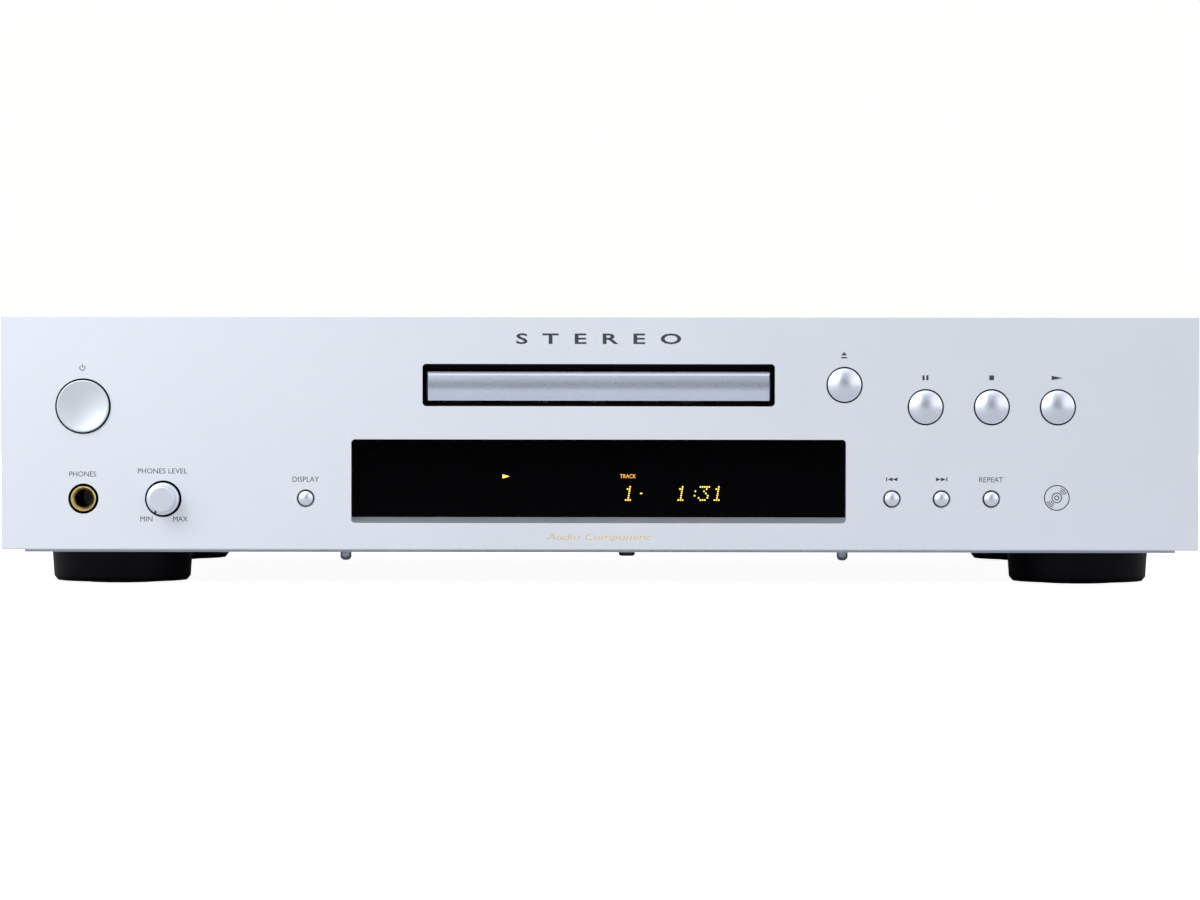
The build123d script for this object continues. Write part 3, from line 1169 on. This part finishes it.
with BuildPart() as sled_pinion:
    with BuildSketch(level(PLATE_TOP - 5, *SLED_MOTOR)):
        Circle(0.75)
    extrude(amount=WHEEL_Z[1] - PLATE_TOP + 5)
    with BuildSketch(level(WHEEL_Z[0] - 0.1, *SLED_MOTOR)):
        with BuildLine():
            gap = SLED_DRIVE_ANGLE + pi + pi / SLED_PINION_TEETH
            Polyline(*gear_points(SLED_PINION_TEETH, SLED_WHEEL_MODULE, gap), close=True)
        make_face()
    extrude(amount=WHEEL_Z[1] - WHEEL_Z[0] + 0.1)
finish(sled_pinion, "sled_pinion")

with BuildPart() as sled_gear:
    with BuildSketch(level(WHEEL_Z[0], *SLED_GEAR)):
        with BuildLine():
            Polyline(*gear_points(SLED_WHEEL_TEETH, SLED_WHEEL_MODULE, SLED_DRIVE_ANGLE), close=True)
        make_face()
    extrude(amount=WHEEL_Z[1] - WHEEL_Z[0])
    with BuildSketch(level(WHEEL_Z[0], *SLED_GEAR)):
        with BuildLine():
            Polyline(*gear_points(SLED_TEETH, SLED_MODULE, pi), close=True)
        make_face()
    extrude(amount=SLED_TEETH_Z[1] - WHEEL_Z[0])
    with BuildSketch(level(WHEEL_Z[0], *SLED_GEAR)):
        Circle(1.25)
    extrude(amount=SLED_TEETH_Z[1] - WHEEL_Z[0], mode=Mode.SUBTRACT)
finish(sled_gear, "sled_gear")

# ---------------------------------------------------------------- power supply and boards
CORE_AT = (-150.0, 40.0)
CORE_WIDTH, CORE_DEEP, CORE_HIGH = 62.0, 32.0, 52.0
LIMB, COIL_LOW, COIL_HIGH = 20.0, 25.0, 54.0

with BuildPart() as transformer_core:
    core_front = CORE_AT[1] - CORE_DEEP / 2
    with BuildSketch(front_at(core_front + CORE_DEEP, CORE_AT[0], FLOOR + CORE_HIGH / 2)):
        Rectangle(CORE_WIDTH, CORE_HIGH)
    extrude(amount=CORE_DEEP)
    with BuildSketch(front_at(core_front + CORE_DEEP, CORE_AT[0], (COIL_LOW + COIL_HIGH) / 2)):
        with GridLocations(LIMB + 11, 0, 2, 1):
            Rectangle(11, COIL_HIGH - COIL_LOW)
    extrude(amount=CORE_DEEP, mode=Mode.SUBTRACT)
    # Mounting ears.
    with BuildSketch(level(FLOOR, *CORE_AT)):
        Rectangle(CORE_WIDTH + 18, CORE_DEEP * 0.6)
    extrude(amount=1.5)
finish(transformer_core, "transformer_core")

with BuildPart() as transformer_coil:
    with BuildSketch(level(COIL_LOW + 0.2, *CORE_AT)):
        RectangleRounded(LIMB + 21.4, CORE_DEEP + 22, 4)
        Rectangle(LIMB + 0.2, CORE_DEEP + 0.2, mode=Mode.SUBTRACT)
    extrude(amount=COIL_HIGH - COIL_LOW - 0.4)
finish(transformer_coil, "transformer_coil")

BOARD_TOP = BOARD_Z + BOARD_THICK
boards = []
for left, right, front, back in (MAIN_BOARD, POWER_BOARD):
    with BuildPart() as board:
        with BuildSketch(level(BOARD_Z, (left + right) / 2, (front + back) / 2)):
            Rectangle(right - left, back - front)
        extrude(amount=BOARD_THICK)
        with BuildSketch(level(BOARD_Z)):
            with Locations(*STANDOFFS):
                Circle(SCREW_R + 0.2)
        extrude(amount=BOARD_THICK, mode=Mode.SUBTRACT)
    boards.append(board.part)
finish(Compound(children=boards), "inner_boards")

# Capacitors: (x, y, radius, height).
CAPACITORS = [(x, y, 9.0, 30.0) for x in (-130.0, -108.0) for y in (-90.0, -65.0)]
CAPACITORS += [(x, y, 4.0, 12.0) for x in (95.0, 108.0, 121.0) for y in (-10.0, 5.0)]
CAPACITORS += [(x, 100.0, 5.0, 16.0) for x in (145.0, 160.0, 175.0)]
capacitors = []
for x, y, radius, height in CAPACITORS:
    with BuildPart() as capacitor:
        with BuildSketch(level(BOARD_TOP, x, y)):
            Circle(radius)
        extrude(amount=height)
        fillet(capacitor.edges(), 0.6)
    capacitors.append(capacitor.part)
finish(Compound(children=capacitors), "capacitors")

# Chips: (x, y, width, depth, height).
CHIPS = [(105.0, 45.0, 20.0, 20.0, 2.0), (150.0, 50.0, 10.0, 18.0, 2.6), (170.0, 50.0, 10.0, 18.0, 2.6)]
CHIPS += [(150.0, -10.0, 8.0, 10.0, 1.8), (-175.0, -50.0, 16.0, 20.0, 12.0), (-160.0, -95.0, 20.0, 6.0, 22.0)]
chips = []
for x, y, width, depth, height in CHIPS:
    with BuildPart() as chip:
        with BuildSketch(level(BOARD_TOP, x, y)):
            Rectangle(width, depth)
        extrude(amount=height)
        chamfer(chip.faces().sort_by(Axis.Z)[-1].edges(), 0.4)
    chips.append(chip.part)
finish(Compound(children=chips), "chips")

# ---------------------------------------------------------------- rear connections
BARREL_IN = 3.3
PIN_BORE_R = 1.65
BLOCK_FRONT = FLOOR_BACK - 14.0
BARREL_BACK = REAR_Y + JACK_PROUD

with BuildPart() as connector_block:
    # One block for the two line jacks and one for the digital jack.
    for x, top in ((LINE_JACKS["left"][0], 66.0), (COAX_JACK[0], 49.0)):
        with BuildSketch(level(BOARD_TOP, x, (BLOCK_FRONT + FLOOR_BACK) / 2)):
            Rectangle(15, FLOOR_BACK - BLOCK_FRONT)
        extrude(amount=top - BOARD_TOP)
    # Insulators that fill the barrels, each with a bore for a plug pin.
    with BuildSketch(front_at(FLOOR_BACK)):
        with Locations(*LINE_JACKS.values(), COAX_JACK):
            Circle(BARREL_IN)
    extrude(amount=FLOOR_BACK - BARREL_BACK + 0.6)
    with BuildSketch(front_at(BARREL_BACK)):
        with Locations(*LINE_JACKS.values(), COAX_JACK):
            Circle(PIN_BORE_R)
    extrude(amount=16, mode=Mode.SUBTRACT)
finish(connector_block, "connector_block")

with BuildPart() as rca_shells:
    with BuildSketch(front_at(FLOOR_BACK)):
        with Locations(*LINE_JACKS.values(), COAX_JACK):
            Circle(RCA_R)
            Circle(BARREL_IN, mode=Mode.SUBTRACT)
    extrude(amount=FLOOR_BACK - BARREL_BACK)
    chamfer(rca_shells.faces().sort_by(Axis.Y)[-3:].edges().filter_by(lambda e: e.radius > 4), 0.3)
finish(rca_shells, "rca_shells")

PORT_HALF_X, PORT_HALF_Z = 5.5, 5.0
SHUTTER_HALF = 2.9
PORT_CAVITY = 2 * SHUTTER_HALF + 0.6
HINGE = (REAR_Y + 0.3, OPTICAL_AT[1] + SHUTTER_HALF - 0.25)

with BuildPart() as optical_port:
    with BuildSketch(level(BOARD_TOP, OPTICAL_AT[0], FLOOR_BACK - 6)):
        Rectangle(2 * PORT_HALF_X, 12)
    extrude(amount=OPTICAL_AT[1] + PORT_HALF_Z - BOARD_TOP)
    with BuildSketch(front_at(FLOOR_BACK, *OPTICAL_AT)):
        Rectangle(2 * PORT_HALF_X, 2 * PORT_HALF_Z)
    extrude(amount=FLOOR_BACK - REAR_Y - 0.8)
    with BuildSketch(front_at(REAR_Y + 0.8, *OPTICAL_AT)):
        RectangleRounded(PORT_CAVITY, PORT_CAVITY, 0.6)
    extrude(amount=9, mode=Mode.SUBTRACT)
finish(optical_port, "optical_port")

with BuildPart() as optical_shutter:
    with BuildSketch(section_at(OPTICAL_AT[0] - SHUTTER_HALF)):
        with BuildLine():
            top = CenterArc(HINGE, 0.25, 0, 180)
            Polyline(top @ 1, (HINGE[0] - 0.25, OPTICAL_AT[1] - SHUTTER_HALF),
                     (HINGE[0] + 0.25, OPTICAL_AT[1] - SHUTTER_HALF), top @ 0)
        make_face()
    extrude(amount=2 * SHUTTER_HALF)
finish(optical_shutter, "optical_shutter")

INLET_BACK = REAR_Y + 2.0
INLET_DEPTH = 13.0
PIN_SPACING, PIN_R = 8.6, 1.2

with BuildPart() as ac_inlet:
    with BuildSketch(front_at(REAR_Y, *INLET_AT)):
        RectangleRounded(*INLET_BODY, 1.5)
    extrude(amount=22)
    with BuildSketch(front_at(INLET_BACK, *INLET_AT)):
        RectangleRounded(INLET_BODY[0] + 4, INLET_BODY[1] + 4, 2.5)
    extrude(amount=INLET_BACK - REAR_Y)
    chamfer(ac_inlet.faces().sort_by(Axis.Y)[-1].edges(), 0.4)
    with BuildSketch(front_at(INLET_BACK, *INLET_AT)):
        SlotOverall(17.2, 8.6)
    extrude(amount=INLET_DEPTH, mode=Mode.SUBTRACT)
finish(ac_inlet, "ac_inlet")

with BuildPart() as inlet_pins:
    with BuildSketch(front_at(INLET_BACK - 3, *INLET_AT)):
        with GridLocations(PIN_SPACING, 0, 2, 1):
            Circle(PIN_R)
    extrude(amount=INLET_DEPTH - 3)
    fillet(inlet_pins.faces().sort_by(Axis.Y)[-2:].edges(), 0.8)
    # Solder tags on the inside.
    with BuildSketch(front_at(REAR_Y - 22, *INLET_AT)):
        with GridLocations(PIN_SPACING, 0, 2, 1):
            Rectangle(0.8, 4.8)
    extrude(amount=8)
finish(inlet_pins, "inlet_pins")

# ---------------------------------------------------------------- inner screws
screws = []
for x, y in FEET:
    pan_screw(Plane(origin=(x, y, FOOT_SCREW_Z), x_dir=(1, 0, 0), z_dir=(0, 0, -1)), 9.0, screws)
for x, y in [CENTRE_SCREW, *LEGS]:
    pan_screw(Plane(origin=(x, y, CHASSIS_BOTTOM), x_dir=(1, 0, 0), z_dir=(0, 0, -1)), 6.0, screws)
for x, y in STANDOFFS:
    pan_screw(level(BOARD_TOP, x, y), 6.0, screws)
for x, z in [*BOARD_POSTS, *LEFT_POSTS]:
    pan_screw(Plane(origin=(x, BOARD_BACK, z), x_dir=(1, 0, 0), z_dir=(0, 1, 0)), 6.0, screws, 2.2, 1.5, SMALL_SCREW_R)
for x, z in STUDS:
    pan_screw(Plane(origin=(x, FRAME_BACK, z), x_dir=(1, 0, 0), z_dir=(0, 1, 0)), 4.0, screws, 3.4, 1.5, SMALL_SCREW_R)
for x, y in BRIDGE_SCREWS:
    pan_screw(level(BRIDGE_TOP, x, y), 8.0, screws, 2.4, 1.5, SMALL_SCREW_R)
finish(Compound(children=screws), "inner_screws")
